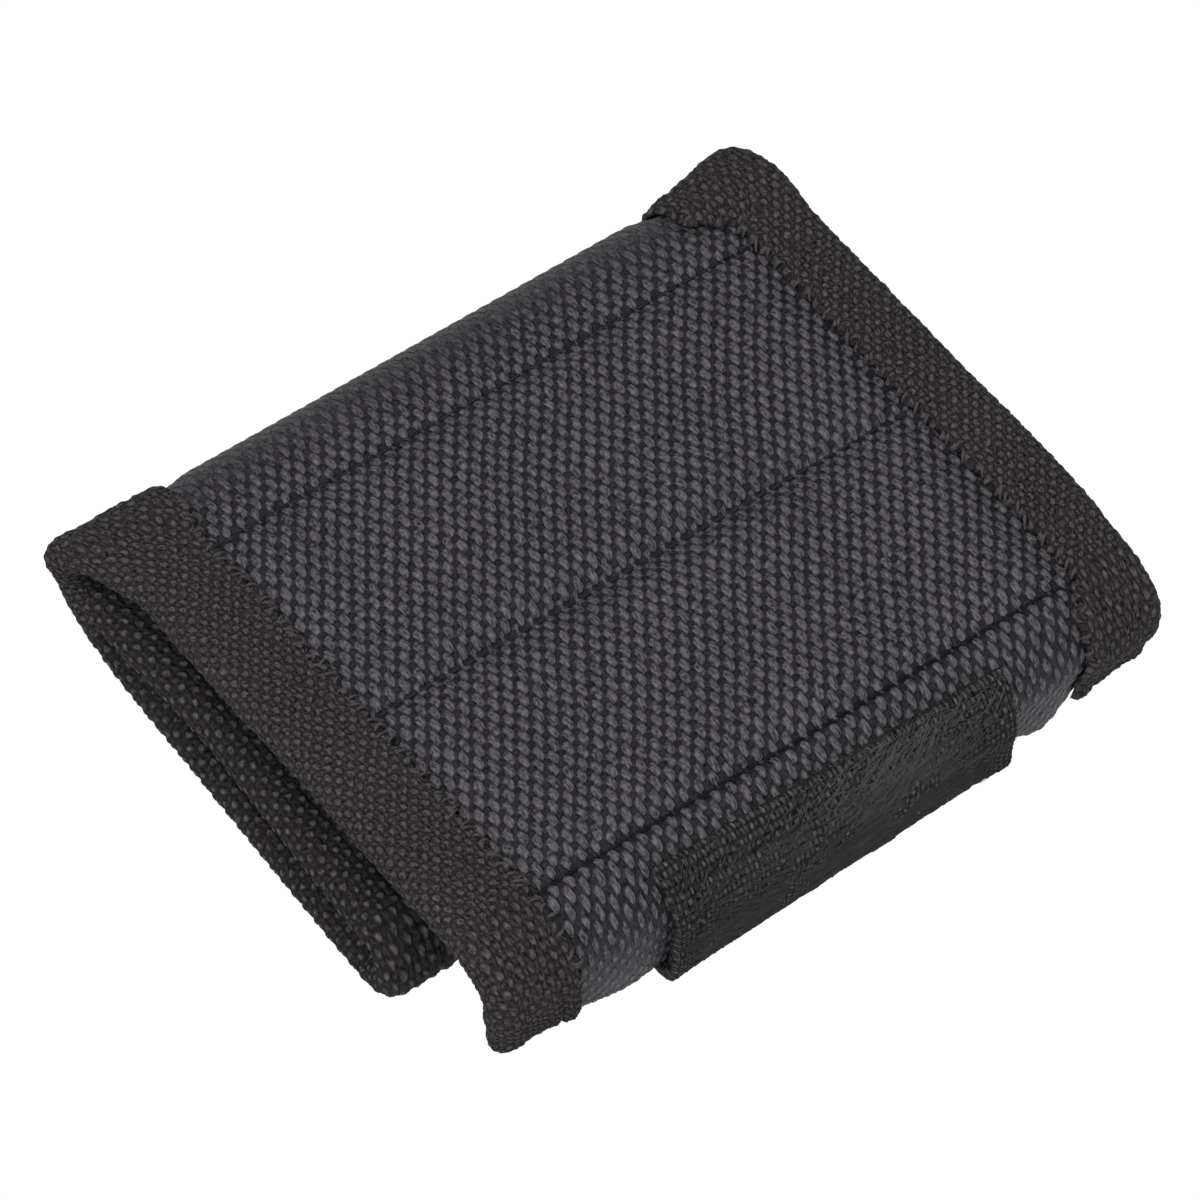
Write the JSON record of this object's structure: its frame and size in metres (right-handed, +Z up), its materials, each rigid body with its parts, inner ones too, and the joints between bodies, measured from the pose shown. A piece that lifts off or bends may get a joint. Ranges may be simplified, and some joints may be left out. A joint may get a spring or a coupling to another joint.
{
  "type": "magnetic wristband",
  "caption": "Padded fabric wristband with sewn-in disc magnets, bound edges and a hook-and-loop closing tab, stored folded flat.",
  "frame": {"origin": "bottom centre of the folded band's bounding box, on the surface it lies on", "axes": "+X along the band's width, -Y to the front where the flap hangs, +Z up"},
  "size_m": [0.0948, 0.0804, 0.0204],
  "materials": {
    "cover": "coarse basket weave",
    "lining": "matte spacer mesh",
    "binding": "ribbed tape",
    "foam": "matte foam",
    "magnet": "nickel plate",
    "loop_pile": "brushed loop pile",
    "tab_webbing": "woven webbing",
    "hook_tape": "moulded hooks"
  },
  "bodies": {
    "base": {"base_cover": "cover", "base_lining": "lining", "base_binding_left": "binding", "base_binding_right": "binding", "base_foam_1": "foam", "base_foam_2": "foam", "base_magnet_1": "magnet", "base_magnet_2": "magnet", "base_magnet_3": "magnet", "base_magnet_4": "magnet", "nose_cover": "cover", "nose_lining": "lining", "nose_binding_left": "binding", "nose_binding_right": "binding"},
    "inner_turn": {"inner_cover": "cover", "inner_lining": "lining", "inner_binding_left": "binding", "inner_binding_right": "binding", "inner_foam_1": "foam", "inner_foam_2": "foam", "inner_magnet_1": "magnet", "inner_magnet_2": "magnet", "inner_magnet_3": "magnet", "inner_magnet_4": "magnet", "inner_end_hem": "cover", "hook_patch": "hook_tape"},
    "spine": {"spine_cover": "cover", "spine_lining": "lining", "spine_binding_left": "binding", "spine_binding_right": "binding", "spine_foam": "foam"},
    "top": {"top_cover": "cover", "top_lining": "lining", "top_binding_left": "binding", "top_binding_right": "binding", "top_foam_1": "foam", "top_foam_2": "foam", "top_magnet_1": "magnet", "top_magnet_2": "magnet", "top_magnet_3": "magnet", "top_magnet_4": "magnet", "bend_cover": "cover", "bend_lining": "lining", "bend_binding_left": "binding", "bend_binding_right": "binding"},
    "flap": {"flap_cover": "cover", "flap_lining": "lining", "flap_binding_left": "binding", "flap_binding_right": "binding", "flap_end_hem": "cover", "tab_root": "tab_webbing"},
    "tab": {"tab_webbing": "tab_webbing", "tab_pile": "loop_pile", "tab_fold": "tab_webbing"}
  },
  "joints": [
    {"name": "outer_turn_open", "type": "hinge", "parent": "base", "child": "spine", "pos_m": [0, 0.03678, 0.00378], "axis": [-1, 0, 0], "range_deg": [0, 88], "deforming": ["spine_cover", "spine_lining", "spine_binding_left", "spine_binding_right", "spine_foam"]},
    {"name": "top_unroll", "type": "hinge", "parent": "spine", "child": "top", "pos_m": [0, 0.03686, 0.01376], "axis": [-1, 0, 0], "range_deg": [0, 86]},
    {"name": "inner_turn_lift", "type": "hinge", "parent": "base", "child": "inner_turn", "pos_m": [0, -0.02268, 0.00594], "axis": [1, 0, 0], "range_deg": [0, 27], "deforming": ["nose_cover", "nose_lining", "nose_binding_left", "nose_binding_right"]},
    {"name": "flap_lift", "type": "hinge", "parent": "top", "child": "flap", "pos_m": [0, -0.03564, 0.01695], "axis": [-1, 0, 0], "range_deg": [0, 75], "deforming": ["bend_cover", "bend_lining", "bend_binding_left", "bend_binding_right"]},
    {"name": "tab_peel", "type": "hinge", "parent": "flap", "child": "tab", "pos_m": [0, -0.03484, 0.00217], "axis": [0.9989, 0.0465, -0.0025], "range_deg": [0, 150], "deforming": ["tab_fold"]}
  ],
  "couplings": [
    {"joint": "top_unroll", "follows": "outer_turn_open", "ratio": 0.97},
    {"joint": "inner_turn_lift", "follows": "outer_turn_open", "ratio": 0.3}
  ]
}
